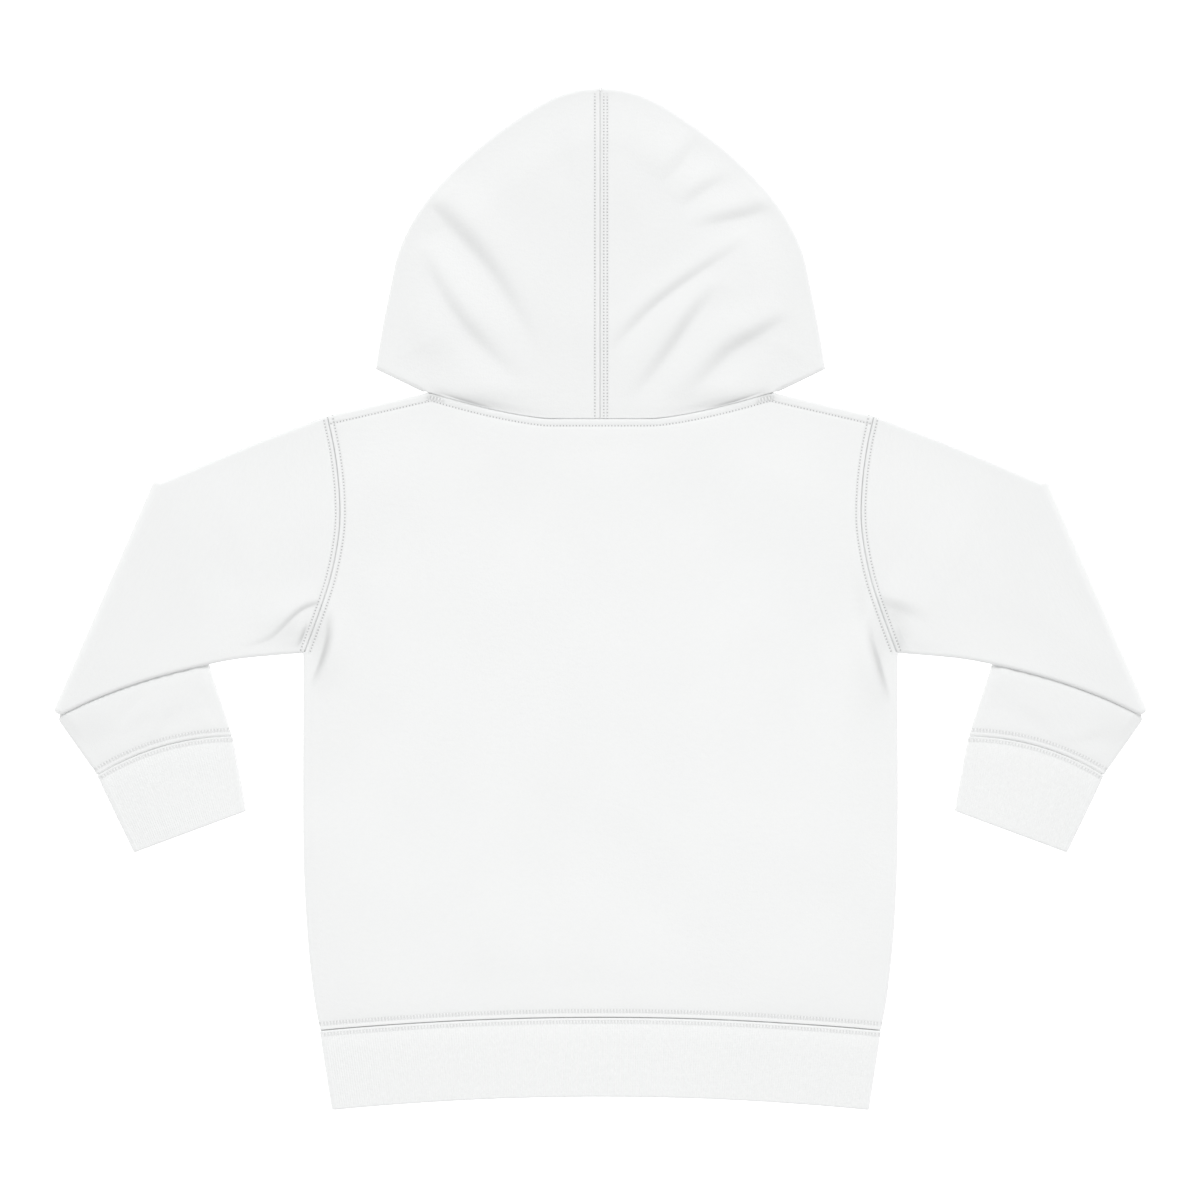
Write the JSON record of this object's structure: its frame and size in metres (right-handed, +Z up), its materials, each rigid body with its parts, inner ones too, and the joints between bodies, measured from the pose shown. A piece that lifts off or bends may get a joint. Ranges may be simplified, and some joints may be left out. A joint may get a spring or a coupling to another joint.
{
  "type": "toddler hoodie",
  "caption": "Toddler's plain pullover hoodie of brushed fleece with rib cuffs and waistband, laid flat on its front with the hood spread and the sleeves folded under.",
  "frame": {"origin": "middle of the laid-out garment's outline, on the surface it lies on", "axes": "+Y from the hem towards the top of the hood, +X towards the wearer's right sleeve, +Z up out of the surface, so the garment's back faces +Z"},
  "size_m": [0.6268, 0.5876, 0.0117],
  "materials": {
    "fleece": "white sweatshirt fleece, fine jersey face, matt",
    "rib": "white rib knit, matt"
  },
  "bodies": {
    "root": {"front_body": "fleece", "back_body": "fleece", "sleeve_left": "fleece", "sleeve_right": "fleece", "hood_left": "fleece", "hood_right": "fleece", "cuff_left": "rib", "cuff_right": "rib", "waistband": "rib"}
  },
  "joints": []
}
